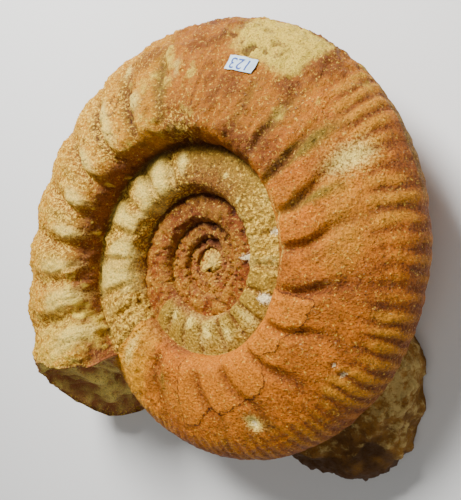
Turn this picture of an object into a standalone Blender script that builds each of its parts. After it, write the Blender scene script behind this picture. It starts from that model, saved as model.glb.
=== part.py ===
"""Fossil ammonite: a large ribbed shell lying on its flank, its lump of rock and a paper label.

The shell grows counter-clockwise seen from above. The coiling axis is the Z axis, and the flat
base of the rock is the plane Z = 0. Lengths are in metres and angles in degrees.
"""

import math

import bmesh
import bpy
from mathutils import Matrix, Vector, noise

# The spiral
END_ANGLE = 224.0          # direction of the broken end, seen from the coiling axis
VENTER_RADIUS = 0.1361     # axis to the outer edge at the broken end
EXPANSION = 1.692          # growth of every length in one turn
TURNS = 4                  # whorls modelled
MID_PLANE = 0.0368         # height of the plane that halves the shell

# The cross-section, as shares of the venter radius at the same angle
SEAM = 0.4727              # radius at which a whorl meets the one before it
SHOULDER = 0.5438          # radius of the thickest part
HALF_THICKNESS = 0.2564
FULLNESS = 1.885           # exponent of the flank's curve: 2 is an ellipse
WALL = 0.15                # section parameter t at the shoulder: 0 is the seam, 1 the venter

# The ribs: angles of the furrows between them on the last whorl
FURROWS = (-136, -122, -107, -93.5, -80, -63, -46, -29, -11.5, 5, 20, 34.5, 48, 61, 73, 85,
           98, 113.5, 129, 144, 159, 174, 188, 202, 224)
RIB_HEIGHT = 0.034         # crest above furrow, as a share of the venter radius
FINE_RIB_HEIGHT = 0.015
CREST_SHARE = 0.4          # share of a rib's height that stands above the smooth flank

# Mesh steps. A tick is half a flank column: the fine ribs have a crest at every other tick.
TICKS_PER_RIB = 10
TICKS_PER_INNER_RIB = 12
FLANK_ROWS = (0.07, WALL, 0.27, 0.38)
INNER_ROWS = (WALL, 0.27)
VENTER_ROWS = (0.6, 0.73, 0.87)

# Where the last whorl is broken off: t, and the angle from END_ANGLE
BREAK_LINE = ((0, 0), (0.08, 1.5), (0.15, -1.5), (0.3, -8), (0.45, -14), (0.6, -16.5),
              (0.75, -16), (0.9, -13), (1, -11), (1.15, -6), (1.3, 0), (1.5, 4.5), (1.7, 5),
              (2, 0))
BREAK_TICKS = 20           # ticks over which the columns turn into the broken edge
BREAK_POINTS = 9
BREAK_DEPTH = 0.007

# The rock under and beside the shell: outline at its widest, then height and spread of its
# levels, all in millimetres
ROCK_OUTLINE = ((82, -31), (87, -41), (86, -51), (87, -61), (83, -70), (81, -79), (73, -87),
                (63, -92), (51, -93), (38, -92), (24, -88), (4, -76), (-18, -60), (-40, -34),
                (-50, -4), (-47, 26), (-28, 46), (2, 52), (34, 44), (58, 22), (73, -6))
ROCK_LEVELS = ((0, 0.96), (7, 1.0), (14, 1.0), (20, 0.94), (25, 0.83))
ROCK_MIDDLE = (30, -32)
ROCK_PEAK = (0, 0, 26)
ROCK_ROUGHNESS = 2.2
ROCK_LUMP_SIZE = 14
GAP = 0.0005
SEAM_EASE = 0.05

# The paper label
LABEL_SIZE = (0.0138, 0.0066, 0.0003)
LABEL_ANGLE = 69.0
LABEL_T = 0.46
LABEL_TURN = 3.0
LABEL_LIFT = 0.0011

TICKS = (len(FURROWS) - 1) * TICKS_PER_RIB
COVER = (SEAM * EXPANSION - SHOULDER) / (1 - SHOULDER)
COVER_T = WALL + (1 - WALL) * 2 / math.pi * math.asin(COVER ** (FULLNESS / 2))
SEAM_HEIGHT = (1 - COVER ** FULLNESS) ** (1 / FULLNESS) / EXPANSION


def smooth(low, high, value):
    """0 below low, 1 above high and an even rise between them."""
    share = min(max((value - low) / (high - low), 0.0), 1.0)
    return share * share * (3 - 2 * share)


def section(t):
    """Radius and height of the smooth cross-section, as shares of the venter radius. t is 0 at
    the seam, 1 at the venter and 2 at the seam on the other side."""
    side = 1 if t <= 1 else -1
    t = min(t, 2 - t)
    if t < WALL:
        turn = t / WALL * math.pi / 2
        radius = SEAM + (SHOULDER - SEAM) * (1 - math.cos(turn))
        height = SEAM_HEIGHT + (1 - SEAM_HEIGHT) * math.sin(turn)
    else:
        turn = (t - WALL) / (1 - WALL) * math.pi / 2
        radius = SHOULDER + (1 - SHOULDER) * math.sin(turn) ** (2 / FULLNESS)
        height = max(math.cos(turn), 0.0) ** (2 / FULLNESS)
    return Vector((radius, side * height * HALF_THICKNESS))


def section_normal(t):
    """Outward direction of the cross-section in its own plane."""
    along = section(min(t + 0.01, 2)) - section(max(t - 0.01, 0))
    return Vector((-along.y, along.x)).normalized()


def shell_point(angle, t, relief=0.0, lift=0.0):
    """A point of the shell, raised off the smooth flank by relief, a share of the venter
    radius, and by lift, a length."""
    radius = VENTER_RADIUS * EXPANSION ** ((angle - END_ANGLE) / 360)
    flat = section(t) * radius + section_normal(t) * (relief * radius + lift)
    turn = math.radians(angle)
    return Vector((flat.x * math.cos(turn), flat.x * math.sin(turn), flat.y + MID_PLANE))


def rib_heights(angle, t):
    """Heights of the main ribs, swollen at the shoulder, faint at the top and strong as far as
    the venter only on the last part of the shell, and of the fine ribs, which are worn there."""
    t = min(t, 2 - t)
    late = smooth(95, 130, angle)
    faint = smooth(25, 55, angle) - smooth(95, 125, angle)
    main = RIB_HEIGHT * (1 + 0.35 * late - 0.5 * faint) * smooth(0, WALL, t)
    main *= 1 - (1 - 0.4 * late) * smooth(0.3, 0.7, t)
    worn = 1 - 0.75 * smooth(60, 100, angle)
    return main, FINE_RIB_HEIGHT * worn * smooth(COVER_T, 0.7, t)


def tick_angle(tick):
    """Angle of a tick: even steps between furrows, and the same directions on every turn."""
    turn, place = divmod(min(tick, TURNS * TICKS - 1), TICKS)
    rib, step = divmod(place + tick - min(tick, TURNS * TICKS - 1), TICKS_PER_RIB)
    if rib == len(FURROWS) - 1:
        rib, step = rib - 1, TICKS_PER_RIB
    angle = FURROWS[rib] + (FURROWS[rib + 1] - FURROWS[rib]) * step / TICKS_PER_RIB
    return angle - 360 * (TURNS - 1 - turn)


def ribbed_relief(tick, t):
    """Relief of the ribs at a tick."""
    main, fine = rib_heights(tick_angle(tick), t)
    length = TICKS_PER_RIB if tick >= (TURNS - 1) * TICKS else TICKS_PER_INNER_RIB
    crest = abs(math.sin(math.pi * tick / length)) ** 0.7
    return main * (crest - 1 + CREST_SHARE) + fine * (tick % 2 - 1 + CREST_SHARE)


def crest_relief(tick, t):
    """Relief of a smooth surface that clears all the ribs, even midway between the columns of a
    mesh with one column to a rib."""
    chord = 1 / math.cos(math.pi * TICKS_PER_RIB / TICKS) - 1
    return sum(rib_heights(tick_angle(tick), t)) * CREST_SHARE + chord


def broken_angle(tick, t):
    """Angle of a tick, moved to the broken edge near the end of the last whorl."""
    share = max(tick - TURNS * TICKS + BREAK_TICKS, 0) / BREAK_TICKS
    for (low, first), (high, last) in zip(BREAK_LINE, BREAK_LINE[1:]):
        if low <= t <= high:
            shift = first + (last - first) * (t - low) / (high - low)
    return tick_angle(tick) + shift * share ** 1.5


class Shell:
    """A mesh of whorls that share vertices where one lies against the next."""

    def __init__(self, steps, relief, lift=0.0, seam_ease=0.0):
        self.mesh = bmesh.new()
        self.last = (TURNS - 1) * TICKS
        self.inner_step, self.flank_step, self.venter_step = steps
        self.relief = relief
        self.lift = lift
        self.seam_ease = seam_ease
        self.vertices = {}

    def vertex(self, tick, t):
        """The vertex at a tick and t. The seam lies on the cover line of the turn before, or a
        little nearer to the axis where it is eased."""
        if t in (0, 2) and tick >= TICKS:
            tick, t = tick - TICKS, COVER_T if t == 0 else 2 - COVER_T
        if (tick, t) not in self.vertices:
            ease = self.seam_ease * (1 if t < 1 else -1)
            eased = t - ease if t in (COVER_T, 2 - COVER_T) and tick < self.last else t
            place = shell_point(broken_angle(tick, t), eased, self.relief(tick, t), self.lift)
            self.vertices[tick, t] = self.mesh.verts.new(place)
        return self.vertices[tick, t]

    def row(self, first, last, step, t):
        return [self.vertex(tick, t) for tick in range(first, last + 1, step)]

    def join(self, first, second):
        """Triangles between two rows of vertices, which may differ in number."""
        low, high = 0, 0
        while low < len(first) - 1 or high < len(second) - 1:
            if (low + 1) * (len(second) - 1) <= (high + 1) * (len(first) - 1):
                corners = (first[low], first[low + 1], second[high])
                low += 1
            else:
                corners = (first[low], second[high + 1], second[high])
                high += 1
            if len(set(corners)) == 3:
                self.mesh.faces.new(corners)

    def add_inner_turns(self, mirror):
        """The uncovered part of each whorl but the last, from its seam to the next whorl."""
        for first in range(0, self.last, TICKS):
            end = first + TICKS
            steps = [self.inner_step] * (1 + len(INNER_ROWS))
            steps.append(self.flank_step if end == self.last else self.inner_step)
            rows = [self.row(first, end, step, mirror(t))
                    for t, step in zip((0, *INNER_ROWS, COVER_T), steps)]
            for lower, upper in zip(rows, rows[1:]):
                self.join(lower, upper)

    def add_last_turn(self, mirror):
        """The last whorl from its seam to the venter, and the strip where its rows begin."""
        flank = (0, *FLANK_ROWS, COVER_T)
        end = self.last + TICKS
        rows = [self.row(self.last, end, self.flank_step, mirror(t)) for t in flank]
        rows += [self.row(self.last, end, self.venter_step, mirror(t))
                 for t in (*VENTER_ROWS, 1)]
        for lower, upper in zip(rows, rows[1:]):
            self.join(lower, upper)
        stops = (0, *INNER_ROWS, COVER_T)
        for low, high in zip(stops, stops[1:]):
            corners = [self.vertex(self.last, mirror(t)) for t in flank if low <= t <= high]
            if len(corners) > 2:
                self.mesh.faces.new(corners)

    def add_core(self, mirror):
        """The flat start of the spiral, closed by triangles round its middle."""
        edge = self.row(0, TICKS, self.inner_step, mirror(0))
        edge += [self.vertex(0, mirror(t)) for t in reversed(INNER_ROWS)]
        middle = self.mesh.verts.new((0, 0, edge[0].co.z))
        for one, other in zip(edge, edge[1:] + edge[:1]):
            self.mesh.faces.new((one, other, middle))

    def add_break(self):
        """The hollow, uneven face where the last whorl is broken off."""
        sides = (0, *FLANK_ROWS, COVER_T, *VENTER_ROWS, 1)
        both = (*sides, *(2 - t for t in reversed(sides[:-1])))
        end = self.last + TICKS
        outer = [self.vertex(end, t) for t in both]
        inner = [self.vertex(self.last, t) for t in both if COVER_T <= t <= 2 - COVER_T]
        turn = math.radians(END_ANGLE)
        inward = Vector((math.sin(turn), -math.cos(turn), 0))
        middle = []
        for index in range(1, BREAK_POINTS):
            share = index / BREAK_POINTS
            one = outer[round(share * (len(outer) - 1))].co
            other = inner[round(share * (len(inner) - 1))].co
            depth = BREAK_DEPTH * (0.8 + 0.5 * math.cos(4.3 * index))
            spot = one.lerp(other, 0.5 + 0.12 * math.sin(3.1 * index)) + inward * depth
            middle.append(self.mesh.verts.new(spot))
        middle = [outer[0], *middle, outer[-1]]
        self.join(outer, middle)
        self.join(middle, inner)

    def build(self):
        for mirror in (lambda t: t, lambda t: 2 - t):
            self.add_core(mirror)
            self.add_inner_turns(mirror)
            self.add_last_turn(mirror)
        self.add_break()
        return self.mesh


def add_material(name, color, roughness):
    material = bpy.data.materials.new(name)
    material.use_nodes = True
    shader = material.node_tree.nodes["Principled BSDF"]
    shader.inputs["Base Color"].default_value = (*color, 1)
    shader.inputs["Roughness"].default_value = roughness
    material.diffuse_color = (*color, 1)
    return material


def add_object(name, mesh, material=None, sharp_angle=50):
    """The object of a bmesh, with its faces turned outwards and its round parts smooth."""
    bmesh.ops.recalc_face_normals(mesh, faces=mesh.faces)
    data = bpy.data.meshes.new(name)
    mesh.to_mesh(data)
    mesh.free()
    data.shade_smooth()
    data.set_sharp_from_angle(angle=math.radians(sharp_angle))
    thing = bpy.data.objects.new(name, data)
    bpy.context.scene.collection.objects.link(thing)
    if material:
        data.materials.append(material)
    return thing


def make_ammonite():
    shell = Shell((4, 2, 1), ribbed_relief)
    return add_object("ammonite", shell.build(), add_material("stone", (0.45, 0.2, 0.06), 0.65))


def rock_point(place, height, spread):
    """A point of the rock's side, moved by the lumps of its surface."""
    spot = Vector((ROCK_MIDDLE[0] + (place[0] - ROCK_MIDDLE[0]) * spread,
                   ROCK_MIDDLE[1] + (place[1] - ROCK_MIDDLE[1]) * spread, height))
    lump = noise.noise_vector(spot / ROCK_LUMP_SIZE) * ROCK_ROUGHNESS
    if height == 0:
        lump.z = 0
    return (spot + lump) / 1000


def rock_outline():
    """The rock's outline with a point halfway along each of its sides."""
    points = []
    for one, other in zip(ROCK_OUTLINE, ROCK_OUTLINE[1:] + ROCK_OUTLINE[:1]):
        points += [one, ((one[0] + other[0]) / 2, (one[1] + other[1]) / 2)]
    return points


def make_rock():
    """A lump with a flat base and rough sides, cut to the underside of the shell."""
    mesh = bmesh.new()
    outline = rock_outline()
    levels = []
    for height, spread in ROCK_LEVELS:
        levels.append([mesh.verts.new(rock_point(place, height, spread)) for place in outline])
    for lower, upper in zip(levels, levels[1:]):
        for index in range(len(outline)):
            after = (index + 1) % len(outline)
            mesh.faces.new((lower[index], lower[after], upper[after], upper[index]))
    mesh.faces.new(levels[0])
    peak = mesh.verts.new(Vector(ROCK_PEAK) / 1000)
    for one, other in zip(levels[-1], levels[-1][1:] + levels[-1][:1]):
        mesh.faces.new((one, other, peak))
    rock = add_object("matrix", mesh, add_material("matrix_stone", (0.35, 0.24, 0.11), 0.9), 35)

    room = Shell((TICKS_PER_RIB,) * 3, crest_relief, GAP, SEAM_EASE)
    cutter = add_object("shell_room", room.build())
    cutter.hide_render = True
    cutter.display_type = "WIRE"
    cut = rock.modifiers.new("shell_room", "BOOLEAN")
    cut.operation = "DIFFERENCE"
    cut.solver = "EXACT"
    cut.object = cutter
    return rock


def make_label():
    """A small square-cut slip of paper on the flank."""
    spot = shell_point(LABEL_ANGLE, LABEL_T, 0, LABEL_LIFT)
    outward = (shell_point(LABEL_ANGLE, LABEL_T, 0, 1) - shell_point(LABEL_ANGLE, LABEL_T))
    outward.normalize()
    along = Vector((0, 0, 1)).cross(outward).normalized()
    frame = Matrix((along, outward.cross(along), outward)).transposed().to_4x4()
    mesh = bmesh.new()
    bmesh.ops.create_cube(mesh, size=1, matrix=Matrix.Diagonal((*LABEL_SIZE, 1)))
    turn = Matrix.Rotation(math.radians(LABEL_TURN), 4, "Z")
    mesh.transform(Matrix.Translation(spot) @ frame @ turn)
    return add_object("label", mesh, add_material("paper", (0.75, 0.8, 0.82), 0.8))


def main():
    for thing in list(bpy.data.objects):
        bpy.data.objects.remove(thing)
    make_ammonite()
    make_rock()
    make_label()


main()
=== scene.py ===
"""A ribbed fossil ammonite lying on its flank, with its lump of rock and a paper slip.

Every length is in metres and every angle in degrees, seen from above and counted
counter-clockwise from +X. The coiling axis is the Z axis, and the floor is the plane Z = 0.
A place on the shell is given by its angle and by t, which is 0 at the inner seam of a whorl,
0.15 at its shoulder, 1 at its outer edge and 2 at the seam of the underside.
"""

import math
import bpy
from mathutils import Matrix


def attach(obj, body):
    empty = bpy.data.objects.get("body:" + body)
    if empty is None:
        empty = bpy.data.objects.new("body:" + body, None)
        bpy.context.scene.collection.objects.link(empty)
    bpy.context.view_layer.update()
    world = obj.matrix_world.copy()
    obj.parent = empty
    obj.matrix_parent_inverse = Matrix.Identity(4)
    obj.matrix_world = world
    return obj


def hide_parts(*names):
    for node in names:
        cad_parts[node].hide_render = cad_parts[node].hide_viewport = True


bl_info = {
    "name": "Fossil Ammonite",
    "version": (1, 0, 0),
    "blender": (4, 5, 0),
    "location": "View3D > Sidebar > Ammonite",
    "description": "Models a ribbed fossil ammonite with its lump of rock and paper slip",
    "category": "Add Mesh",
}

from types import SimpleNamespace

import bpy
import numpy as np
from mathutils import Matrix, Vector, noise
from mathutils.bvhtree import BVHTree

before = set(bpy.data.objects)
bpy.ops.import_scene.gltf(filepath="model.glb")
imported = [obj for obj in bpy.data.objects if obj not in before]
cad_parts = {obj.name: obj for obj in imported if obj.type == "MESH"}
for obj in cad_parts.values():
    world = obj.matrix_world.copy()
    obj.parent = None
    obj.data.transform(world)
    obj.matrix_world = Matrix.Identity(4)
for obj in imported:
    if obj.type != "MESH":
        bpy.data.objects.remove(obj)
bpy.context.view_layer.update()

# The spiral and the cross-section of its tube, as in the solids
END_ANGLE = 224.0
LAST_START = END_ANGLE - 360
SECOND_START = END_ANGLE - 720
MID_PLANE = 0.0368
SEAM = 0.4727
SHOULDER = 0.5438
HALF_THICKNESS = 0.2564
FULLNESS = 1.885
WALL = 0.15
EXPANSION = 1.692
COVER = (SEAM * EXPANSION - SHOULDER) / (1 - SHOULDER)
COVER_T = WALL + (1 - WALL) * 2 / math.pi * math.asin(COVER ** (FULLNESS / 2))
SEAM_HEIGHT = (1 - COVER ** FULLNESS) ** (1 / FULLNESS) / EXPANSION

# The net of the shell: columns in a turn, turns, and the column step of each whorl
COLUMNS = 600
TURNS = 5
FIRST_OF_LAST = (TURNS - 1) * COLUMNS
END = TURNS * COLUMNS
UPPER_STEPS = (2, 2, 2, 1, 1)
LOWER_STEPS = (4, 4, 4, 4, 2)
FINE_ROWS = (*np.linspace(0, WALL, 11), *np.linspace(WALL, COVER_T, 25)[1:])
COARSE_ROWS = FINE_ROWS[::2]
OUTER_ROWS = tuple(np.linspace(COVER_T, 1, 41)[1:])
LOWER_ROWS = (*np.linspace(0, WALL, 5), *np.linspace(WALL, COVER_T, 9)[1:])
LOWER_OUTER_ROWS = tuple(np.linspace(COVER_T, 1, 15)[1:-1])
BREAK_ROWS = 16
CORE_RINGS = 6

# The furrows between the main ribs, from the first whorl to the broken end
FURROWS = (*(-447 - 17.6 * k for k in range(71, 0, -1)), -447, -427, -410, -396, -381, -362, -343,
           -325, -303, -289, -275, -252, -234, -216, -197, -180, -163, -149, -136, -124, -110,
           -80, -63, -45, -28, -11.5, 5, 20, 34.5, 48, 61, 73, 85, 98, 113.5, 129, 144, 159,
           174, 188, 202, 224, 240)
FINE_SPACING = 4.385       # degrees from one fine rib to the next, at angle 0
FINE_GROWTH = 0.01385      # what each degree further on adds to it

# The broken edge: t, and its angle from END_ANGLE
BREAK_LINE = ((0, 0), (0.08, 1.5), (0.15, -1.5), (0.3, -8), (0.45, -14), (0.6, -16.5),
              (0.75, -16), (0.9, -13), (1, -11), (1.15, -6), (1.3, 0), (1.5, 4.5), (1.7, 5),
              (2, 0))
# How deep the broken face is hollowed, and the sizes and heights of the lumps on it
BREAK_DEPTH = 0.006
BREAK_LUMPS = (0.012, 0.004)
BREAK_LUMP_HEIGHTS = (0.0045, 0.0028)
# The crumbled knob in the middle of each side: its place, how far it stands out, and its lumps
KNOB_MIDDLE = (0.0025, -0.0015)
KNOB_RISE = 0.0028
KNOB_LUMPS = 0.003
KNOB_LUMP_HEIGHT = 0.0009

# A raised layer of shell starts and ends at an angle, and its edge is given as angle and t
LAYER_EDGE = ((-92, 0.53), (-85, 0.49), (-80, 0.40), (-76, 0.37), (-73, 0.41), (-70.6, 0.40),
              (-66, 0.39), (-61.6, 0.38), (-59.6, 0.36), (-54.7, 0.37), (-48.7, 0.36),
              (-45.3, 0.29), (-42, 0.21), (-35, 0.27), (-29, 0.27), (-23.7, 0.32),
              (-18.4, 0.33), (-12.4, 0.35))
LAYER_START = -92
LAYER_END = -12.6
# A crack with a ridge along it, at the top, as angle and t
TOP_CRACK = ((84, 0.1), (82.5, 0.25), (81.5, 0.4), (80.5, 0.52), (80, 0.66))

# Swellings and hollows that stand alone: angle, t, half widths in angle and t, height in mm
SWELLINGS = (
    (126, 0.27, 3.6, 0.13, 2.8), (140, 0.21, 3.2, 0.09, 2.3), (155, 0.17, 3.2, 0.08, 2.2),
    (170, 0.14, 3.2, 0.07, 1.9), (187.6, 0.12, 3.2, 0.08, 1.6), (211, 0.1, 3.4, 0.07, 1.3),
    (110, 0.3, 3, 0.06, 1.4), (175, 0.24, 2.5, 0.05, -1.5), (148, 0.12, 2.5, 0.05, -1.2),
    (-102, 0.2, 2.6, 0.05, 1.4), (-61.8, 0.51, 2.0, 0.045, -1.8), (-29.5, 0.62, 1.1, 0.02, -1),
    (-28.3, 0.55, 0.9, 0.014, -0.8), (66, 0.6, 3.0, 0.03, -0.5), (72, 0.63, 2.0, 0.02, -0.6),
    (-382, 0.36, 3.5, 0.07, 0.8), (-344, 0.33, 2.5, 0.14, -0.9),
)
# How strongly the main ribs stand out along the shell: angle and strength
RIB_STRENGTH = ((-1700, 0.25), (-500, 0.35), (-490, 0.9), (-455, 0.9), (-440, 1.3), (-395, 1.3),
                (-348, 0.6), (-335, 0.15), (-275, 0.15), (-258, 0.9), (-136, 1.0), (-135, 0.3),
                (-112, 0.35), (-104, 0.85), (-60, 0.8), (-10, 0.7), (28, 0.7), (48, 0.4),
                (62, 0.18), (96, 0.18), (106, 0.8), (130, 1.3), (240, 1.3))
# Stains, and worn places whose pale spots sit on the lit sides of the ribs as painted highlights:
# angle, t, half widths in angle and t, strength
GREEN_STAINS = ((20, 0.3, 2.4, 0.2, 0.9), (35, 0.32, 2.8, 0.22, 1.3), (48, 0.3, 2.5, 0.2, 0.9),
                (61, 0.3, 2.5, 0.2, 0.5), (98, 0.35, 3, 0.28, 0.9), (113.5, 0.3, 3, 0.25, 0.9),
                (129, 0.3, 3, 0.2, 0.9), (148, 0.3, 3, 0.2, 0.6), (163, 0.25, 3, 0.2, 0.8),
                (178, 0.25, 3.5, 0.2, 0.7), (204, 0.2, 3, 0.2, 0.7), (-103, 0.25, 3, 0.1, 0.6),
                (-58, 0.55, 3, 0.08, 0.5))
WORN_CRESTS_AND_HIGHLIGHTS = ((124, 0.31, 2.6, 0.15, 1.4), (139, 0.24, 2.6, 0.1, 1.3), (113, 0.56, 1.0, 0.07, 1),
               (154, 0.2, 3.2, 0.09, 1.3), (168, 0.18, 3, 0.1, 1.1), (182, 0.22, 3, 0.14, 1.1),
               (195, 0.18, 4, 0.12, 1.3), (211, 0.16, 4, 0.12, 1.3), (109, 0.3, 3, 0.06, 1),
               (92, 0.42, 1.5, 0.06, 0.7), (26, 0.55, 4, 0.14, 0.75), (-130, 0.3, 4, 0.2, 0.6),
               (-243, 0.3, 3.5, 0.22, 0.9), (-225, 0.3, 4, 0.24, 1), (-207, 0.28, 3.5, 0.2, 0.8),
               (-188, 0.2, 4, 0.14, 1), (-171, 0.3, 4, 0.2, 0.8), (-154, 0.25, 5, 0.2, 0.8),
               (-262, 0.3, 4, 0.16, 0.8), (-480, 0.2, 5, 0.1, 0.7), (-460, 0.16, 4, 0.06, 0.8),
               (-438, 0.22, 3, 0.06, 0.8), (-420, 0.3, 3, 0.1, 0.5), (-400, 0.3, 4, 0.12, 0.5),
               (-360, 0.3, 3, 0.08, 0.8), (-314, 0.18, 1.2, 0.03, 1), (-296, 0.27, 1.4, 0.03, 1),
               (-61.8, 0.51, 2.4, 0.055, 1.2))
CALCITE_SPOTS = ((-61.8, 0.51, 1.2, 0.03, 0.7), (-29.5, 0.62, 0.9, 0.016, 1),
                 (-28.3, 0.55, 0.7, 0.012, 1), (-382, 0.36, 3.2, 0.06, 1.3),
                 (-343, 0.38, 2, 0.06, 0.8), (-715, 0.35, 3.5, 0.12, 1.2))

# The rock: the distance at which doubled corners are merged, and the size of its facets
MERGE_DISTANCE = 0.00001
ROCK_CELL = 0.0013

# The paper slip and its digits
SLIP_SIDES = (0.0138, 0.0066)
SLIP_CELLS = (24, 12)
SLIP_LIFT = 0.002          # how far over its place it starts, before it is laid on the shell
SLIP_GAP = 0.0005
SLIP_SMOOTHING = 16
PAPER_THICKNESS = 0.0002
DIGITS = "123"
DIGIT_SIZE = 0.0072
DIGIT_CUTS = 2             # so that the digits can bend with the slip
INK_THICKNESS = 0.00005

# The stage. The camera is fitted to the photo; a light has a place, a size and a share of power
LIGHTS = (("key", (-0.14, 0.5, 0.6), 0.3, 1.0), ("fill", (0.35, -0.3, 0.8), 0.8, 0.14))
LIGHT_AIM = (0, 0, 0.03)
ROOM_LIGHT = 0.12
FLOOR_SIZE = 6
CAMERA_PLACE = (0.1717, -0.0036, 0.2498)
CAMERA_AXES = ((0.7938, 0.0116, -0.608), (0.0116, 0.9993, 0.0342), (0.608, -0.0342, 0.7932))
CAMERA_LENS = 42.77
SENSOR_WIDTH = 36
NEAREST_SEEN = 0.01

# Patterns of noise in each material: name, size of the lumps in mm, detail, roughness of the
# detail, shift of its place, and depth of its relief in metres. The grain of the real stone and
# paper is under 0.5 mm, too fine for the render, so it is drawn as coarse as it needs to show.
STONE_PATTERNS = (("cloud", 14, 5, 0.65, 0, 0), ("blotch", 5, 5, 0.7, 0.31, 0.0014),
                  ("speck", 1.0, 3, 0.7, 0.77, 0.001), ("spark", 1.3, 3, 0.7, 0.53, 0),
                  ("fine", 0.9, 3, 0.7, 0.13, 0.0006))
ROCK_PATTERNS = (("cloud", 16, 5, 0.65, 0, 0), ("blotch", 5, 5, 0.7, 0.4, 0.002),
                 ("speck", 1.8, 4, 0.7, 0.2, 0.0016), ("fine", 1.0, 3, 0.7, 0.6, 0.0008))
PAPER_PATTERNS = (("fibre", 0.8, 4, 0.6, 0, 0),)
INK_PATTERNS = (("pool", 1.2, 3, 0.6, 0.2, 0),)

# Layers of colour on the shell, from the bottom up: the name of both mask and colour, the
# pattern that breaks up the edge, how far it does, how soft the edge is, and the strength
STONE_LAYERS = (
    ("amber", "blotch", 0.9, 0.5, 0.75), ("layer", "blotch", 0.1, 0.05, 0.8),
    ("rose", "cloud", 0.5, 0.3, 0.85), ("ochre", "blotch", 0.6, 0.35, 0.95),
    ("second", "blotch", 0.4, 0.3, 0.95), ("inner", "blotch", 0.3, 0.3, 0.95),
    ("pink", "blotch", 0.5, 0.4, 0.85), ("fracture", "blotch", 0.3, 0.3, 1.0),
    ("crystal", "speck", 1.6, 0.25, 0.7), ("olive", "blotch", 0.8, 0.5, 0.8),
    ("furrow_stain_and_shade", "blotch", 0.6, 0.55, 0.8), ("cream", "blotch", 1.2, 0.3, 0.95),
    ("crest", "speck", 1.4, 0.45, 0.92), ("soot_and_shade", "speck", 3.0, 0.3, 0.8),
    ("glow", "spark", 3.0, 0.3, 0.8), ("crevice_dirt_and_shade", "speck", 0.6, 0.4, 0.85),
    ("calcite", "speck", 1.8, 0.3, 0.8),
)

# The sockets of a Mix node that mixes colours, which share their names with others
FACTOR, BELOW, ABOVE, MIXED = 0, 6, 7, 2

# Colours of the stone, the rock, the paper and the floor
COLORS = {
    "rust": "#C06800", "amber": "#DA9018", "furrow_stain_and_shade": "#6E3000", "rose": "#C27404",
    "cream": "#FFDC4C", "ochre": "#DA9200", "crest": "#FFE06E", "olive": "#66600A",
    "second": "#A07C1C", "inner": "#964400", "crystal": "#D08E20", "crevice_dirt_and_shade": "#4A1C00",
    "layer": "#D27804", "pink": "#A05C30", "soot_and_shade": "#522600", "glow": "#FFD04C",
    "fracture": "#BC7440", "calcite": "#FFEBB4", "rock": "#A06C1A", "rock_stain_and_shade": "#422200",
    "rock_grain": "#CCAC60", "paper": "#BFD3DE", "ink": "#1F3F86", "floor": "#DEDDDA",
}


def linear(color):
    """The linear red, green and blue of an sRGB hex value."""
    parts = [int(color[i:i + 2], 16) / 255 for i in (1, 3, 5)]
    return [c / 12.92 if c <= 0.04045 else ((c + 0.055) / 1.055) ** 2.4 for c in parts]


def color_property(name, key):
    """A colour that the panel shows, with its default from COLORS."""
    return bpy.props.FloatVectorProperty(name=name, description=f"Colour of the {name.lower()}",
                                         default=linear(COLORS[key]), subtype="COLOR", size=3,
                                         min=0, max=1)


class AmmoniteSizes(bpy.types.PropertyGroup):
    """The sizes of the shell and the rock, and the power of the main light"""
    radius: bpy.props.FloatProperty(
        name="Outer radius", description="Coiling axis to the outer edge at the broken end",
        default=0.1361, min=0.01, unit="LENGTH")
    rib_height: bpy.props.FloatProperty(
        name="Rib height", description="Height of a main rib as a share of the outer radius",
        default=0.034, min=0, max=0.2)
    fine_height: bpy.props.FloatProperty(
        name="Fine rib height", description="Height of a fine rib as a share of the radius",
        default=0.007, min=0, max=0.1)
    crust: bpy.props.FloatProperty(
        name="Crust", description="Height of the rough crust on the worn parts",
        default=0.0008, min=0, unit="LENGTH")
    rock_lumps: bpy.props.FloatProperty(
        name="Rock lumps", description="Height of the lumps on the broken rock",
        default=0.003, min=0, unit="LENGTH")
    key_light: bpy.props.FloatProperty(
        name="Main light", description="Power of the main light in watts", default=17, min=0)


class AmmoniteColors(bpy.types.PropertyGroup):
    """The colours of the pieces and of the floor"""
    rust: color_property("Iron-stained flank", "rust")
    layer: color_property("Raised layer", "layer")
    pink: color_property("Fill beside the seams", "pink")
    soot_and_shade: color_property("Dark specks and painted shade", "soot_and_shade")
    glow: color_property("Bright specks", "glow")
    amber: color_property("Rubbed ribs", "amber")
    furrow_stain_and_shade: color_property("Furrow stain and painted shade", "furrow_stain_and_shade")
    rose: color_property("Upper flank", "rose")
    cream: color_property("Bared stone", "cream")
    ochre: color_property("Weathered flank", "ochre")
    crest: color_property("Worn crests and painted highlights", "crest")
    olive: color_property("Green stain", "olive")
    second: color_property("Second whorl", "second")
    inner: color_property("Inner whorls", "inner")
    crystal: color_property("Inner crests", "crystal")
    crevice_dirt_and_shade: color_property("Crevice dirt and painted shade", "crevice_dirt_and_shade")
    fracture: color_property("Broken face", "fracture")
    calcite: color_property("Calcite", "calcite")
    rock: color_property("Rock", "rock")
    rock_stain_and_shade: color_property("Rock stain and painted shade", "rock_stain_and_shade")
    rock_grain: color_property("Rock grains", "rock_grain")
    paper: color_property("Paper", "paper")
    ink: color_property("Ink", "ink")
    floor: color_property("Floor", "floor")


def smooth(low, high, value):
    """0 below low, 1 above high and an even rise between them."""
    share = np.clip((value - low) / (high - low), 0.0, 1.0)
    return share * share * (3 - 2 * share)


def hill(value, middle, width):
    """1 at the middle, falling evenly to both sides."""
    return np.exp(-((value - middle) / width) ** 2)


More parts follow.
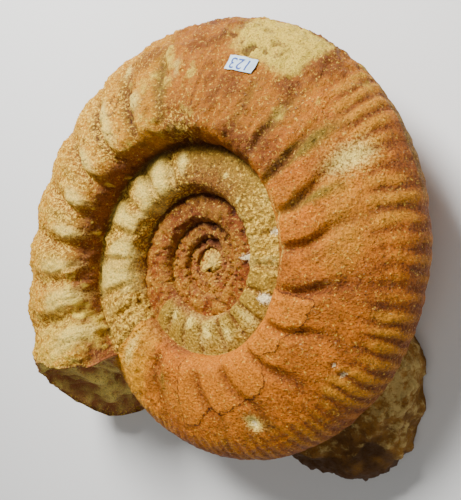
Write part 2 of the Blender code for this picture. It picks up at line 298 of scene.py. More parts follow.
def section(t):
    """Radius and height of the smooth cross-section, as shares of the outer radius."""
    near = np.minimum(t, 2 - t)
    wall = np.clip(near / WALL, 0, 1) * np.pi / 2
    flank = np.clip((near - WALL) / (1 - WALL), 0, 1) * np.pi / 2
    radius = np.where(near < WALL, SEAM + (SHOULDER - SEAM) * (1 - np.cos(wall)),
                      SHOULDER + (1 - SHOULDER) * np.sin(flank) ** (2 / FULLNESS))
    height = np.where(near < WALL, SEAM_HEIGHT + (1 - SEAM_HEIGHT) * np.sin(wall),
                      np.cos(flank).clip(0) ** (2 / FULLNESS))
    return radius, np.where(t <= 1, height, -height) * HALF_THICKNESS


def outer_radius(angle, sizes):
    """The radius of the shell's outer edge at an angle."""
    return sizes.radius * EXPANSION ** ((angle - END_ANGLE) / 360)


def shell_points(angle, t, height, sizes):
    """Points of the shell, raised off its smooth cross-section by a height."""
    size = outer_radius(angle, sizes)
    across, up = section(t)
    high, low = section(np.minimum(t + 0.01, 2)), section(np.maximum(t - 0.01, 0))
    out, rise = -(high[1] - low[1]), high[0] - low[0]
    length = np.hypot(out, rise)
    radius = across * size + out / length * height
    turn = np.radians(angle)
    return np.stack([radius * np.cos(turn), radius * np.sin(turn),
                     up * size + rise / length * height + MID_PLANE], -1)


def moved_to_break(angle, t):
    """The angle of a column, moved to the broken edge near the end of the last whorl."""
    share = np.interp(angle, (188, 202, END_ANGLE), (0, 0.5, 1)) ** 1.5
    stops, shifts = zip(*BREAK_LINE)
    return angle + np.interp(t, stops, shifts) * share


def noise_at(points, size, octaves=3):
    """Noise between about -1 and 1 at points, with lumps of a size in metres."""
    return np.array([noise.fractal(p, 1.0, 2.0, octaves) for p in (points / size).tolist()])


def spots(angle, t, table):
    """The sum of round spots: angle, t, half widths in angle and t, and strength."""
    total = np.zeros(angle.shape)
    for middle, level, width, depth, strength in table:
        total += strength * hill(angle, middle, width) * hill(t, level, depth)
    return total


def distance_to_line(angle, t, line, sizes):
    """Distance in metres along the shell to a line of points given by angle and t."""
    size = outer_radius(angle, sizes)
    best = np.full(angle.shape, 1.0)
    for (angle_0, t_0), (angle_1, t_1) in zip(line, line[1:]):
        along, across = np.radians(0.75) * size, 0.75 * size
        du, dv = (angle_1 - angle_0) * along, (t_1 - t_0) * across
        pu, pv = (angle - angle_0) * along, (t - t_0) * across
        share = np.clip((pu * du + pv * dv) / (du * du + dv * dv), 0, 1)
        best = np.minimum(best, np.hypot(pu - share * du, pv - share * dv))
    return best


class Net:
    """The net of the shell, whose whorls share the vertices of their seams. No operator makes
    such a net, so it is built row by row. A vertex has the key (column, t) on the shell, and
    (name, row, place in the row) on a core or on the broken face."""

    def __init__(self):
        self.numbers = {}
        self.faces = []
        self.cores = {}

    def number(self, *key):
        """The number of the vertex with a key, which is made where there is none yet."""
        return self.numbers.setdefault(key, len(self.numbers))

    def vertex(self, column, t):
        """The number of a vertex. A seam lies on the cover line of the whorl before."""
        if t in (0, 2) and column >= COLUMNS:
            column, t = column - COLUMNS, COVER_T if t == 0 else 2 - COVER_T
        return self.number(column, float(t))

    def row(self, first, last, step, t):
        """The vertices of one t, from one column to another."""
        return [self.vertex(column, t) for column in range(first, last + 1, step)]

    def join(self, first, second):
        """Faces between two rows of vertices, which may differ in number."""
        if len(first) == len(second):
            corners = zip(first, first[1:], second[1:], second)
            self.faces += [tuple(dict.fromkeys(c)) for c in corners]
            return
        low, high = 0, 0
        while low < len(first) - 1 or high < len(second) - 1:
            if (low + 1) * (len(second) - 1) <= (high + 1) * (len(first) - 1):
                self.faces.append((first[low], first[low + 1], second[high]))
                low += 1
            else:
                self.faces.append((first[low], second[high + 1], second[high]))
                high += 1

    def add_whorl(self, whorl, rows, steps, next_rows, mirror):
        """The open part of a whorl, from its seam outwards."""
        first, end = whorl * COLUMNS, (whorl + 1) * COLUMNS
        stop = end if next_rows == rows[:len(next_rows)] else end - steps[whorl]
        row_steps = [steps[max(whorl - 1, 0)]] + [steps[whorl]] * (len(rows) - 1)
        lines = [self.row(first, stop, s, mirror(t)) for t, s in zip(rows, row_steps)]
        for lower, upper in zip(lines, lines[1:]):
            self.join(lower, upper)
        if stop != end:
            self.join([self.vertex(stop, mirror(t)) for t in rows],
                      [self.vertex(end, mirror(t)) for t in next_rows])

    def add_core(self, rows, step, mirror, name):
        """The start of the spiral, closed by rings round a knob in its middle."""
        edge = self.row(0, COLUMNS, step, mirror(0))
        edge += [self.vertex(0, mirror(t)) for t in reversed(rows[1:-1])]
        self.cores[name] = before = edge
        for ring in range(1, CORE_RINGS):
            line = [self.number(name, ring, spoke) for spoke in range(len(edge))]
            self.join([*before, before[0]], [*line, line[0]])
            before = line
        for one, other in zip(before, before[1:] + before[:1]):
            self.faces.append((one, other, self.number(name, CORE_RINGS, 0)))

    def add_side(self, sides, steps, mirror, name):
        """One side of the shell, from its core to its last whorl."""
        self.add_core(sides[0], steps[0], mirror, name)
        for whorl, rows in enumerate(sides):
            next_rows = sides[min(whorl + 1, TURNS - 1)]
            if whorl + 2 == TURNS:
                next_rows = next_rows[:len(rows)]
            self.add_whorl(whorl, rows, steps, next_rows, mirror)

    def add_break(self):
        """The rows of the broken face, from the last whorl's edge to the whorl inside it."""
        mirrored = [2 - t for t in (*LOWER_ROWS, *LOWER_OUTER_ROWS)]
        both = [*FINE_ROWS, *OUTER_ROWS, *reversed(mirrored)]
        outer = [self.vertex(END, t) for t in both]
        inner = [self.vertex(FIRST_OF_LAST, t) for t in both if COVER_T <= t <= 2 - COVER_T]
        before = outer
        for row in range(1, BREAK_ROWS):
            middle = [self.number("break", row, i) for i in range(1, len(outer) - 1)]
            line = [outer[0], *middle, outer[-1]]
            self.join(before, line)
            before = line
        self.join(before, inner)
        return outer, inner

    def build(self):
        """The whole net. It returns the two edges of the broken face."""
        upper = [COARSE_ROWS] * 3 + [FINE_ROWS, FINE_ROWS + OUTER_ROWS]
        lower = [LOWER_ROWS] * 4 + [LOWER_ROWS + LOWER_OUTER_ROWS]
        self.add_side(upper, UPPER_STEPS, lambda t: t, "knob")
        self.add_side(lower, LOWER_STEPS, lambda t: 2 - t, "under_knob")
        self.join(self.row(FIRST_OF_LAST, END, LOWER_STEPS[-1], 2 - LOWER_OUTER_ROWS[-1]),
                  self.row(FIRST_OF_LAST, END, 1, 1.0))
        return self.add_break()


def shell_parts(angle, t, sizes):
    """The parts of the shell, as shares from 0 to 1 at each place, and the noise on it."""
    p = SimpleNamespace(angle=angle, t=t, near=np.minimum(t, 2 - t))
    p.upper = np.where(t <= 1, 1, 0)
    p.size = outer_radius(angle, sizes)
    p.plain = shell_points(angle, t, 0, sizes)
    p.lumps = noise_at(p.plain, 0.006)
    p.grit = noise_at(p.plain + 0.3, 0.0022)
    p.patches = noise_at(p.plain + 0.5, 0.022, 2)
    # The whorls. The last one is weathered on its late part, and its ribs are faint at the top
    p.last = smooth(LAST_START - 1, LAST_START + 0.1, angle)
    p.inner = 1 - smooth(SECOND_START - 1, SECOND_START + 1, angle)
    p.second = (1 - p.inner) * (1 - p.last)
    p.late = smooth(95, 130, angle)
    p.faint = smooth(25, 55, angle) - smooth(95, 125, angle)
    # The pale half of the second whorl, and where crust and crystals cover the stone
    p.pale = smooth(-275, -250, angle)
    p.crusty = p.last * hill(angle, 90, 9) * (1 - smooth(0.12, 0.32, p.near))
    p.frost = p.second * hill(angle, -342, 28)
    p.crusted = p.second * p.pale * smooth(-0.12, 0.2, p.patches)
    return p


def rib_heights(p, sizes):
    """Heights of the main and the fine ribs. Where their crests lie is kept for the masks."""
    lean = p.last * (6 * (1 - smooth(20, 60, p.angle)) - 3 * p.late) * smooth(0.2, 0.5, p.near)
    along = p.angle - lean - 1.2 * noise_at(p.plain, 0.016, 2)
    phase = np.interp(along, FURROWS, np.arange(len(FURROWS)))
    p.crest = smooth(0, 0.72 + 0.28 * p.late, np.abs(np.sin(np.pi * phase)))
    uneven = 1 + 0.18 * np.sin(12.9 * np.floor(phase))
    p.rib = np.interp(p.angle, *zip(*RIB_STRENGTH))
    main = sizes.rib_height * p.size * p.rib
    main *= smooth(0.06 - 0.06 * p.late, 0.2 - 0.05 * p.late, p.near)
    main *= 1 - (0.85 - 0.3 * p.late) * smooth(0.27, 0.55, p.near)

    spacing = FINE_SPACING + FINE_GROWTH * np.maximum(along, LAST_START)
    p.fine_crest = (0.5 - 0.5 * np.cos(2 * np.pi * np.log(spacing) / FINE_GROWTH)) ** 0.7
    p.fine = (1 - 0.85 * smooth(30, 65, p.angle)) * smooth(0.53, 0.64, p.near) * p.last
    p.fine *= np.clip(0.8 + 0.7 * p.patches, 0.2, 1.2)
    p.fine *= 0.6 + 0.4 * smooth(-60, -20, p.angle)
    edge = 1 - 0.7 * smooth(0.86, 1, p.near)
    return (main * (p.crest * uneven - 0.6)
            + sizes.fine_height * p.size * p.fine * edge * p.fine_crest)


def shell_heights(p, sizes):
    """Heights off the smooth shell: ribs, single swellings, the raised layer, the crust, the
    pits and the ridge along the crack at the top."""
    height = rib_heights(p, sizes)
    height += p.upper * spots(p.angle, p.near, SWELLINGS) / 1000

    stops, levels = zip(*LAYER_EDGE)
    ahead = np.minimum(p.angle - LAYER_START, LAYER_END - p.angle)
    p.margin = np.minimum((np.interp(p.angle, stops, levels) - p.near) * 0.8,
                          np.radians(ahead) * 0.75) * p.size
    p.layer = p.upper * smooth(-0.0004, 0.0004, p.margin)
    height += 0.0004 * p.layer * (1 - smooth(0.001, 0.02, p.margin))

    rough_start = p.last * (1 - smooth(-112, -98, p.angle)) * (1 - smooth(0.5, 0.7, p.near))
    worn = p.last * (0.35 + 0.9 * p.late) + p.second * 0.45 + p.inner * 1.2 + 0.8 * rough_start
    worn += 0.9 * p.crusty + 0.8 * p.faint * p.last + 0.5 * p.frost + 0.9 * p.crusted
    height += sizes.crust * worn * (1 - 0.7 * p.layer) * (p.lumps + 0.9 * p.grit)

    pitted = np.clip(hill(p.angle, 118, 24) * hill(p.near, 0.35, 0.18) + 0.5 * p.late
                     + 0.35 * hill(p.angle, 68, 12) * hill(p.near, 0.62, 0.08), 0, 1) * p.last
    pitted += 0.8 * p.crusty + 0.7 * p.inner
    p.pits = smooth(0.28, 0.5, noise_at(p.plain + 0.7, 0.0026, 2)) * pitted
    p.pits += (smooth(0.26, 0.38, noise_at(p.plain + 0.9, 0.0048, 2)) * p.last
               * hill(p.angle, 71, 13) * hill(p.near, 0.6, 0.16))
    p.ridge = p.upper * hill(distance_to_line(p.angle, p.near, TOP_CRACK, sizes), 0, 0.0012)
    height += 0.0006 * p.ridge * (0.5 + p.grit) - 0.0009 * p.pits
    return height


def shell_masks(p):
    """How much of each colour the stone is given at each place, painted shade and highlights
    among them.
    """
    angle, near, last, late, second = p.angle, p.near, p.last, p.late, p.second
    faint, lumps, patches = p.faint, p.lumps, p.patches
    to_seam = near * p.size * 0.8
    to_cover = np.where(angle < LAST_START, (COVER_T - near) * p.size * 0.8, 1.0)
    # Painted shade: facing is highest where the shell faces the top, and there the seams of the
    # last whorl and the cover lines of the inner whorls are darkened as if in shadow
    facing = (0.5 + 0.5 * np.cos(np.radians(angle - 90))) ** 3
    shade = facing * np.where(last > 0.5, hill(to_seam, 0, 0.0035), hill(to_cover, 0, 0.0028))
    open_flank = smooth(0.05, 0.17, near)
    patch = p.upper * smooth(50, 56, angle) * (1 - smooth(66, 86, angle))
    patch *= smooth(0.44, 0.6, near) * (1 - smooth(0.86, 0.98, near))
    return {
        "layer": p.upper * (0.5 + p.margin / 0.008),
        "amber": last * (1 - late) * (0.95 * p.fine_crest * p.fine + 0.8 * hill(near, 0.45, 0.12)
                                      * smooth(-12, 0, angle) * (1 - faint) + 0.55 * patches),
        "rose": last * (smooth(38, 52, angle) - smooth(98, 112, angle)),
        "ochre": last * (smooth(90, 108, angle) + (1 - smooth(-126, -106, angle))),
        "second": second + 0.9 * last * hill(near, 0.97, 0.05) * hill(angle, 26, 18),
        "inner": p.inner,
        "pink": (1 - last) * hill(to_seam, 0, 0.004)
        + last * late * (1 - smooth(0.04, 0.14, near))
        + 0.7 * last * (1 - smooth(-100, -80, angle)) * (1 - smooth(0.02, 0.14, near)),
        "crystal": p.inner * (0.5 + 0.5 * lumps) + p.crusted,
        "olive": p.upper * last * spots(angle, near, GREEN_STAINS),
        # Stain and painted shade: the furrows between the ribs, the top of the second whorl, the
        # wall of the late part of the last whorl and its outer edge at the right are darkened as
        # if in shade, and the patchy parts are stain
        "furrow_stain_and_shade": last * (1 - p.crest) * (1 - smooth(0.35, 0.7, near)) * np.minimum(p.rib, 0.95)
        * smooth(0.06, 0.2, near) + 0.9 * (1 - p.fine_crest) * p.fine
        + second * (1 - p.crest) * np.minimum(p.rib, 1) * (0.9 - 0.4 * p.pale)
        + second * hill(angle, -285, 38) * (1 - 0.6 * smooth(0.1, 0.4, near))
        + 0.6 * faint * last * smooth(0.05, 0.5, 0.6 * lumps - patches)
        + 0.55 * last * smooth(0.7, 1, near) * (1 - smooth(0, 25, angle))
        + 0.6 * last * late * (1 - smooth(0.06, 0.2, near))
        + 0.45 * last * (1 - late) * smooth(0.1, 0.6, -patches - 0.3 * lumps) * (1 - p.layer),
        # Dark specks, with more of them on the inner whorls where they face the top, as painted
        # shade
        "soot_and_shade": last * (0.1 + 0.32 * late * (0.3 + 0.7 * open_flank) + 0.32 * faint)
        + p.inner * (0.36 + 0.3 * facing) + 0.35 * p.crusty
        + second * (0.12 + 0.2 * p.pale) + 0.3 * p.crusted + 0.25 * p.frost,
        "glow": last * open_flank * (0.4 * late + 0.08 * faint) + 0.1 * p.inner + 0.3 * p.crusty
        + second * (0.1 + 0.2 * p.pale) + 0.2 * p.crusted + 0.35 * p.frost,
        "cream": patch + 0.5 * last * late * smooth(0.3, 0.6, lumps)
        + 0.55 * faint * last * smooth(0.1, 0.6, patches + 0.5 * lumps)
        + 0.5 * last * hill(angle, 209, 13) * (1 - smooth(0.4, 0.7, near)),
        # Worn pale crests, whose spots sit on the lit sides of the ribs and bullae as painted
        # highlights
        "crest": p.upper * (spots(angle, near, WORN_CRESTS_AND_HIGHLIGHTS)
                            + second * (0.2 * lumps + 0.4 * p.pale)
                            + 0.5 * p.frost * lumps + 0.3 * second * hill(angle, -440, 35)
                            - 0.75 * p.crusted
                            + 0.85 * last * hill(near, 0.125, 0.007) * hill(angle, 14, 20)),
        "fracture": last * smooth(2.0, 0.0, moved_to_break(END_ANGLE, p.t) - angle),
        # Painted shade in the seams that face the top and in the pits, and dark dirt along the
        # crack ridge
        "crevice_dirt_and_shade": shade + 0.9 * p.pits + 0.5 * p.ridge,
        "calcite": p.upper * spots(angle, near, CALCITE_SPOTS),
    }


def add_node(tree, kind, inputs=None, **settings):
    """A node with its settings. Each input is given a value, or an output to link."""
    node = tree.nodes.new(kind)
    for name, value in settings.items():
        setattr(node, name, value)
    for name, value in (inputs or {}).items():
        if isinstance(value, bpy.types.NodeSocket):
            tree.links.new(value, node.inputs[name])
        else:
            node.inputs[name].default_value = value
    return node


def new_material(name, patterns):
    """A material with its shader joined to its output, and the outputs of its patterns on the
    piece's own place. Those patterns that have a depth are also its relief."""
    material = bpy.data.materials.new(name)
    material.use_nodes = True
    tree = material.node_tree
    tree.nodes.clear()
    outputs, relief = {}, {}
    for key, millimetres, detail, roughness, shift, depth in patterns:
        place = add_node(tree, "ShaderNodeTexCoord").outputs["Object"]
        moved = add_node(tree, "ShaderNodeMapping",
                         {"Vector": place, "Location": (shift,) * 3}).outputs["Vector"]
        outputs[key] = add_node(tree, "ShaderNodeTexNoise",
                                {"Vector": moved, "Scale": 1000 / millimetres, "Detail": detail,
                                 "Roughness": roughness}).outputs["Fac"]
        if depth:
            bump = add_node(tree, "ShaderNodeBump", {"Height": outputs[key], "Distance": depth,
                                                     "Strength": 1.0, **relief})
            relief = {"Normal": bump.outputs["Normal"]}
    shader = add_node(tree, "ShaderNodeBsdfPrincipled", relief)
    add_node(tree, "ShaderNodeOutputMaterial", {"Surface": shader.outputs["BSDF"]})
    return material, tree, shader, outputs


def cover(tree, below, color, mask, grain, spread, soft, strength):
    """A colour laid over another where a mask is high, with an edge broken up by a grain."""
    broken = add_node(tree, "ShaderNodeMath", {0: grain, 1: spread, 2: mask},
                      operation="MULTIPLY_ADD").outputs[0]
    middle = 0.5 + spread / 2
    share = add_node(tree, "ShaderNodeMapRange",
                     {"Value": broken, "From Min": middle - soft, "From Max": middle + soft,
                      "To Max": strength}, interpolation_type="SMOOTHSTEP").outputs["Result"]
    return add_node(tree, "ShaderNodeMix", {FACTOR: share, BELOW: below, ABOVE: (*color, 1)},
                    data_type="RGBA").outputs[MIXED]


def drifting(tree, color, pattern, low, high):
    """A colour that drifts along a pattern from a darker to a lighter shade of itself."""
    dark, light = [(*[min(c * share, 1) for c in color], 1) for share in (low, high)]
    return add_node(tree, "ShaderNodeMix", {FACTOR: pattern, BELOW: dark, ABOVE: light},
                    data_type="RGBA").outputs[MIXED]


def make_stone_material(colors):
    """Iron-stained limestone cast, weathered in the ground and rubbed on its ribs: warm rust
    and ochre in soft clouds, a dry satin surface with fine grain, dirt and painted shade in
    every hollow, and painted highlights on the lit sides of the worn crests."""
    material, tree, shader, patterns = new_material("weathered_iron_stained_limestone",
                                                    STONE_PATTERNS)
    drift = add_node(tree, "ShaderNodeMapRange",
                     {"Value": patterns["cloud"], "From Min": 0.35,
                      "From Max": 0.65}).outputs["Result"]
    tint = drifting(tree, colors.rust, drift, 0.6, 1.25)
    masks = {}
    for name, pattern, spread, soft, strength in STONE_LAYERS:
        masks[name] = add_node(tree, "ShaderNodeAttribute", attribute_name=name).outputs["Fac"]
        tint = cover(tree, tint, getattr(colors, name), masks[name], patterns[pattern], spread,
                     soft, strength)
    # A dark crack where the raised layer ends, which is where its mask meets its pattern
    off = add_node(tree, "ShaderNodeMath", {0: masks["layer"], 1: patterns["blotch"]},
                   operation="SUBTRACT").outputs[0]
    off = add_node(tree, "ShaderNodeMath", {0: off}, operation="ABSOLUTE").outputs[0]
    crack = add_node(tree, "ShaderNodeMapRange",
                     {"Value": off, "From Min": 0.02, "From Max": 0.06, "To Min": 1.0,
                      "To Max": 0.0}).outputs["Result"]
    tint = cover(tree, tint, colors.crevice_dirt_and_shade, crack, patterns["speck"], 0.3, 0.3, 0.8)
    light = add_node(tree, "ShaderNodeMapRange",
                     {"Value": patterns["speck"], "From Min": 0.36, "From Max": 0.64,
                      "To Min": 0.5, "To Max": 1.42}).outputs["Result"]
    grained = add_node(tree, "ShaderNodeVectorMath", {0: tint, 1: light}, operation="MULTIPLY")
    tree.links.new(grained.outputs[0], shader.inputs["Base Color"])
    rough = add_node(tree, "ShaderNodeMapRange",
                     {"Value": patterns["blotch"], "From Min": 0.3, "From Max": 0.7,
                      "To Min": 0.5, "To Max": 0.8}).outputs["Result"]
    tree.links.new(rough, shader.inputs["Roughness"])
    shader.inputs["Specular IOR Level"].default_value = 0.25
    return material


def make_rock_material(colors):
    """Broken limestone, left as it split: sandy yellow-grey with dark iron stain in patches, the
    same dark colour painted as shade where it faces -Y and as the shell's shadow, and pale
    crystal grains, with more of them on upward faces as painted light, matt all over."""
    material, tree, shader, patterns = new_material("broken_limestone", ROCK_PATTERNS)
    tint = drifting(tree, colors.rock, patterns["cloud"], 0.6, 1.25)
    # The stain is iron stain in patches, with painted shade where the rock faces -Y and the
    # shell's painted shadow
    stain_and_shade_mask = add_node(tree, "ShaderNodeAttribute", attribute_name="stain").outputs["Fac"]
    tint = cover(tree, tint, colors.rock_stain_and_shade, stain_and_shade_mask, patterns["blotch"], 1.0, 0.4, 0.85)
    grains = add_node(tree, "ShaderNodeAttribute", attribute_name="grain").outputs["Fac"]
    tint = cover(tree, tint, colors.rock_grain, grains, patterns["speck"], 1.6, 0.25, 0.9)
    tree.links.new(tint, shader.inputs["Base Color"])
    shader.inputs["Roughness"].default_value = 0.85
    return material


def make_paper_material(colors):
    """Thin uncoated paper, cut by hand and aged: pale blue, matt, with a faint fibre."""
    material, tree, shader, patterns = new_material("uncoated_paper", PAPER_PATTERNS)
    tint = drifting(tree, colors.paper, patterns["fibre"], 0.8, 1.15)
    tree.links.new(tint, shader.inputs["Base Color"])
    shader.inputs["Roughness"].default_value = 0.85
    return material


def make_ink_material(colors):
    """Blue writing ink soaked into paper: matt, and paler where the paper took less of it."""
    material, tree, shader, patterns = new_material("soaked_writing_ink", INK_PATTERNS)
    tint = drifting(tree, colors.ink, patterns["pool"], 0.6, 1.8)
    tree.links.new(tint, shader.inputs["Base Color"])
    shader.inputs["Roughness"].default_value = 0.7
    return material


def make_floor_material(colors):
    """A matt pale grey backdrop, so plain that only the fossil draws the eye."""
    material, _, shader, _ = new_material("matt_backdrop", ())
    shader.inputs["Base Color"].default_value = (*colors.floor, 1)
    shader.inputs["Roughness"].default_value = 0.9
    return material


def deselect():
    """Leaves edit mode and deselects everything."""
    if bpy.context.object and bpy.context.object.mode != "OBJECT":
        bpy.ops.object.mode_set(mode="OBJECT")
    bpy.ops.object.select_all(action="DESELECT")


def link_mesh(name, data):
    """A new object with a mesh, selected alone and active."""
    thing = bpy.data.objects.new(name, data)
    bpy.context.scene.collection.objects.link(thing)
    deselect()
    thing.select_set(True)
    bpy.context.view_layer.objects.active = thing
    return thing


def edit_mesh(*steps):
    """Runs operators of edit mode, each with its settings, on the whole of the active mesh."""
    bpy.ops.object.mode_set(mode="EDIT")
    bpy.ops.mesh.select_all(action="SELECT")
    for operator, settings in steps:
        operator(**settings)
    bpy.ops.object.mode_set(mode="OBJECT")


def add_modifier(thing, kind, **settings):
    """A modifier with its settings, applied at once."""
    modifier = thing.modifiers.new(kind.lower(), kind)
    for name, value in settings.items():
        setattr(modifier, name, value)
    bpy.ops.object.modifier_apply(modifier=modifier.name)


def set_mask(data, name, values):
    """Keeps values from 0 to 1 on the vertices, for the material to read by name."""
    layer = data.attributes.new(name, "FLOAT", "POINT")
    layer.data.foreach_set("value", np.clip(values, 0, 1).astype(np.float32))


def dress(thing, material, node):
    """Gives a finished piece its material and its place in the frame, and hides the solid of the
    node it stands for.
    """
    thing.data.materials.clear()
    thing.data.materials.append(material)
    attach(thing, "root")
    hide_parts(node)


class AMMONITE_OT_add_shell(bpy.types.Operator):
    """Adds the ribbed shell"""
    bl_idname = "ammonite.add_shell"
    bl_label = "Shell"

    def execute(self, context):
        sizes = context.scene.ammonite_sizes
        net = Net()
        outer, inner = net.build()
        on_shell = [(number, *key) for key, number in net.numbers.items()
                    if not isinstance(key[0], str)]
        numbers, columns, levels = (np.array(v) for v in zip(*on_shell))
        angle = moved_to_break(END_ANGLE + (columns - END) * 360 / COLUMNS, levels)
        parts = shell_parts(angle, levels, sizes)
        height = shell_heights(parts, sizes)
        places = np.zeros((len(net.numbers), 3))
        places[numbers] = shell_points(angle, levels, height, sizes)
        masks = {}
        for name, values in shell_masks(parts).items():
            masks[name] = np.zeros(len(places))
            masks[name][numbers] = values
        self.place_break(net, places, outer, inner, masks)
        self.place_core(net, places, masks)

        data = bpy.data.meshes.new("ammonite_shell")
        data.from_pydata(places.tolist(), [], net.faces)
        for name, values in masks.items():
            set_mask(data, name, values)
        shell = link_mesh("ammonite_shell", data)
        edit_mesh((bpy.ops.mesh.normals_make_consistent, {"inside": False}))
        bpy.ops.object.shade_smooth()
        dress(shell, make_stone_material(context.scene.ammonite_colors), "ammonite")
        return {"FINISHED"}

    def place_core(self, net, places, masks):
        """The crumbled knob in the middle of each side."""
        rises = {"knob": KNOB_RISE, "under_knob": -KNOB_RISE}
        for key, number in net.numbers.items():
            if key[0] not in rises:
                continue
            name, ring, spoke = key
            share = 1 - ring / CORE_RINGS
            edge = places[net.cores[name]]
            middle = np.array((*KNOB_MIDDLE, edge[:, 2].mean() + rises[name]))
            places[number] = middle + (edge[spoke] - middle) * share
            places[number, 2] += rises[name] * share * (1 - share)
            rough = noise.fractal(Vector(places[number]) / KNOB_LUMPS, 1.0, 2.0, 3)
            places[number, 2] += KNOB_LUMP_HEIGHT * rough * (1 - share ** 4)
            masks["inner"][number] = 1
            masks["crest"][number] = 0.8 * (1 - share ** 2) + 0.5 * rough
            masks["soot_and_shade"][number] = masks["glow"][number] = 0.45

    def place_break(self, net, places, outer, inner, masks):
        """The rough, hollow face where the last whorl is broken off."""
        rim = places[outer]
        steps = np.linspace(0, len(inner) - 1, len(outer))
        base = np.stack([np.interp(steps, range(len(inner)), places[inner][:, i])
                         for i in range(3)], -1)
        turn = math.radians(END_ANGLE)
        inward = np.array((math.sin(turn), -math.cos(turn), 0))
        for row in range(1, BREAK_ROWS):
            share = row / BREAK_ROWS
            line = rim * (1 - share) + base * share
            reach = np.hypot(*(rim - base).T[:2]) / 0.03
            depth = BREAK_DEPTH * (1 - (2 * share - 1) ** 4) * np.clip(reach, 0, 1)
            coarse, grit = (noise_at(line, size) for size in BREAK_LUMPS)
            rough = BREAK_LUMP_HEIGHTS[0] * coarse + BREAK_LUMP_HEIGHTS[1] * grit
            rough *= np.clip(reach, 0, 1)
            line = line + inward * (depth + rough)[:, None]
            for index in range(1, len(outer) - 1):
                number = net.numbers["break", row, index]
                places[number] = line[index]
                masks["fracture"][number] = 1
                masks["soot_and_shade"][number] = 0.4 + 0.3 * coarse[index]
                masks["crest"][number] = 0.45 - 0.6 * coarse[index] - 1.1 * grit[index]


class AMMONITE_OT_add_rock(bpy.types.Operator):
    """Adds the lump of rock under the shell"""
    bl_idname = "ammonite.add_rock"
    bl_label = "Rock"

    def execute(self, context):
        sizes = context.scene.ammonite_sizes
        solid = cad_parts["matrix"]
        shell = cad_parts["ammonite"].data
        rock = link_mesh("rock_lump", solid.data.copy())
        edit_mesh((bpy.ops.mesh.remove_doubles, {"threshold": MERGE_DISTANCE}))
        add_modifier(rock, "REMESH", mode="VOXEL", voxel_size=ROCK_CELL)
        # Lumps grow where the rock is clear of the shell and of the floor
        places = np.array([v.co for v in rock.data.vertices])
        normals = np.array([v.normal for v in rock.data.vertices])
        tree = BVHTree.FromPolygons([v.co for v in shell.vertices],
                                    [p.vertices for p in shell.polygons])
        clear = np.array([tree.find_nearest(v.co)[3] for v in rock.data.vertices])
        free = smooth(0.002, 0.007, clear) * smooth(0.0002, 0.004, places[:, 2])
        lumps = noise_at(places, 0.013, 4)
        facets = np.abs(noise_at(places + 0.5, 0.02, 2))
        grit = noise_at(places + 0.9, 0.0035, 3)
        drop = sizes.rock_lumps * free * (0.9 * lumps - 0.9 * facets + 0.38 * grit - 0.25)
        places += normals * drop[:, None]
        places[:, 2] = np.maximum(places[:, 2], 0)
        rock.data.vertices.foreach_set("co", places.ravel())
        rock.data.update()
        # Painted shade: a dark stain where the rock faces -Y, away from the main light, and a
        # browner edge on that side painted as the shell's shadow; the rest is iron stain in
        # patches
        front_in_shade = smooth(-0.1, -0.75, normals[:, 1]) * smooth(0.05, 0.03, places[:, 0] - 0.04)
        painted_shell_shadow = smooth(-0.05, -0.068, places[:, 1]) * smooth(0.085, 0.065, places[:, 0])
        set_mask(rock.data, "stain", 0.22 + 0.75 * front_in_shade + 0.22 * painted_shell_shadow - 0.35 * lumps)
        # Painted light: more pale grains on faces turned up, and fewer in the painted shade and
        # shadow
        set_mask(rock.data, "grain",
                 0.3 + 0.4 * normals[:, 2] + 0.5 * grit - 0.6 * front_in_shade - 0.5 * painted_shell_shadow)
        bpy.ops.object.shade_smooth()
        dress(rock, make_rock_material(context.scene.ammonite_colors), "matrix")
        return {"FINISHED"}


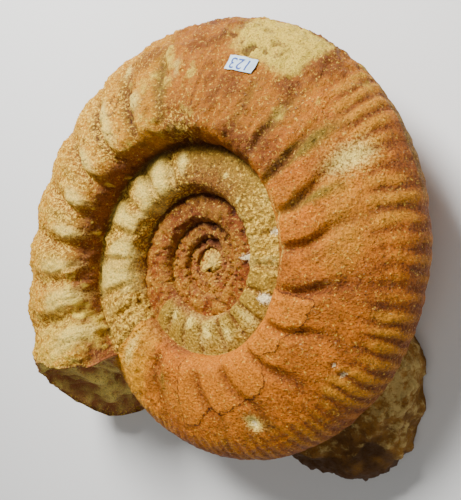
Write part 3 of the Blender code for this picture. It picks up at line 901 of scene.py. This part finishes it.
class AMMONITE_OT_add_label(bpy.types.Operator):
    """Adds the paper slip and its digits"""
    bl_idname = "ammonite.add_label"
    bl_label = "Label"

    def execute(self, context):
        colors = context.scene.ammonite_colors
        shell = bpy.data.objects["ammonite_shell"]
        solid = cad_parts["label"]
        corners = [v.co for v in solid.data.vertices]
        middle = sum(corners, Vector()) / len(corners)
        face = max(solid.data.polygons, key=lambda p: p.area)
        outward = face.normal if face.normal.z > 0 else -face.normal
        # Of the edges of half a rectangle, the one of middle length runs along it
        edges = [corners[a] - corners[b] for a, b in face.edge_keys]
        along = sorted(edges, key=lambda e: e.length)[1].normalized()
        if along.x > 0:
            along = -along
        across = outward.cross(along)
        place = Matrix((along, across, outward)).transposed().to_4x4()
        place.translation = middle + outward * SLIP_LIFT

        deselect()
        bpy.ops.mesh.primitive_grid_add(x_subdivisions=SLIP_CELLS[0],
                                        y_subdivisions=SLIP_CELLS[1], size=1)
        slip = bpy.context.object
        slip.name = slip.data.name = "paper_slip"
        slip.data.transform(Matrix.Diagonal((*SLIP_SIDES, 1, 1)))
        self.lay(slip, place, shell, SLIP_GAP, SLIP_SMOOTHING)
        add_modifier(slip, "SOLIDIFY", thickness=PAPER_THICKNESS, offset=1)
        bpy.ops.object.shade_flat()
        dress(slip, make_paper_material(colors), "label")

        deselect()
        bpy.ops.object.text_add()
        text = bpy.context.object.data
        text.body = DIGITS
        text.size = DIGIT_SIZE
        text.align_x = text.align_y = "CENTER"
        bpy.ops.object.convert(target="MESH")
        digits = bpy.context.object
        digits.name = digits.data.name = "slip_digits"
        edit_mesh((bpy.ops.mesh.quads_convert_to_tris, {}),
                  (bpy.ops.mesh.subdivide, {"number_cuts": DIGIT_CUTS}))
        self.lay(digits, place, slip, INK_THICKNESS, 0)
        add_modifier(digits, "SOLIDIFY", thickness=INK_THICKNESS, offset=1)
        dress(digits, make_ink_material(colors), "label")
        return {"FINISHED"}

    def lay(self, thing, place, ground, gap, rounds):
        """Lays a flat piece straight down on another, a small gap above it, and smooths it
        only up and down, so that its outline stays as it was cut."""
        thing.matrix_world = place
        add_modifier(thing, "SHRINKWRAP", target=ground, wrap_method="PROJECT",
                     wrap_mode="ABOVE_SURFACE", use_project_z=True,
                     use_positive_direction=False, use_negative_direction=True, offset=gap)
        if rounds:
            add_modifier(thing, "SMOOTH", factor=0.5, iterations=rounds, use_x=False,
                         use_y=False)
        bpy.ops.object.transform_apply()


class AMMONITE_OT_add_stage(bpy.types.Operator):
    """Adds the floor, the lights and the camera"""
    bl_idname = "ammonite.add_stage"
    bl_label = "Stage"

    def execute(self, context):
        scene = context.scene
        deselect()
        bpy.ops.mesh.primitive_plane_add(size=FLOOR_SIZE)
        floor = bpy.context.object
        floor.name = floor.data.name = "floor"
        floor.data.materials.append(make_floor_material(scene.ammonite_colors))

        world = bpy.data.worlds.new("studio")
        world.use_nodes = True
        background = world.node_tree.nodes["Background"]
        background.inputs["Color"].default_value = (1, 1, 1, 1)
        background.inputs["Strength"].default_value = ROOM_LIGHT
        scene.world = world
        power = scene.ammonite_sizes.key_light
        for name, place, size, share in LIGHTS:
            bpy.ops.object.light_add(type="AREA", location=place)
            light = bpy.context.object
            light.name = name
            light.data.energy = power * share
            light.data.size = size
            aim = Vector(LIGHT_AIM) - Vector(place)
            light.rotation_euler = aim.to_track_quat("-Z", "Y").to_euler()

        bpy.ops.object.camera_add(location=CAMERA_PLACE)
        camera = bpy.context.object
        camera.rotation_euler = Matrix(CAMERA_AXES).transposed().to_euler()
        camera.data.lens = CAMERA_LENS
        camera.data.sensor_width = SENSOR_WIDTH
        camera.data.clip_start = NEAREST_SEEN
        scene.camera = camera
        return {"FINISHED"}


class AMMONITE_PT_panel(bpy.types.Panel):
    """The pieces of the ammonite, its sizes and its colours"""
    bl_label = "Fossil Ammonite"
    bl_idname = "AMMONITE_PT_panel"
    bl_space_type = "VIEW_3D"
    bl_region_type = "UI"
    bl_category = "Ammonite"

    def draw(self, context):
        for operator in OPERATORS:
            self.layout.operator(operator.bl_idname)
        for group in (context.scene.ammonite_sizes, context.scene.ammonite_colors):
            for name in group.__annotations__:
                self.layout.prop(group, name)


OPERATORS = (AMMONITE_OT_add_shell, AMMONITE_OT_add_rock, AMMONITE_OT_add_label,
             AMMONITE_OT_add_stage)
CLASSES = (AmmoniteSizes, AmmoniteColors, *OPERATORS, AMMONITE_PT_panel)


def register():
    for one in CLASSES:
        bpy.utils.register_class(one)
    bpy.types.Scene.ammonite_sizes = bpy.props.PointerProperty(type=AmmoniteSizes)
    bpy.types.Scene.ammonite_colors = bpy.props.PointerProperty(type=AmmoniteColors)


def unregister():
    del bpy.types.Scene.ammonite_sizes
    del bpy.types.Scene.ammonite_colors
    for one in reversed(CLASSES):
        bpy.utils.unregister_class(one)


def main():
    register()
    bpy.ops.ammonite.add_shell()
    bpy.ops.ammonite.add_rock()
    bpy.ops.ammonite.add_label()
    bpy.ops.ammonite.add_stage()
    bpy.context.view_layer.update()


if __name__ == "__main__":
    main()
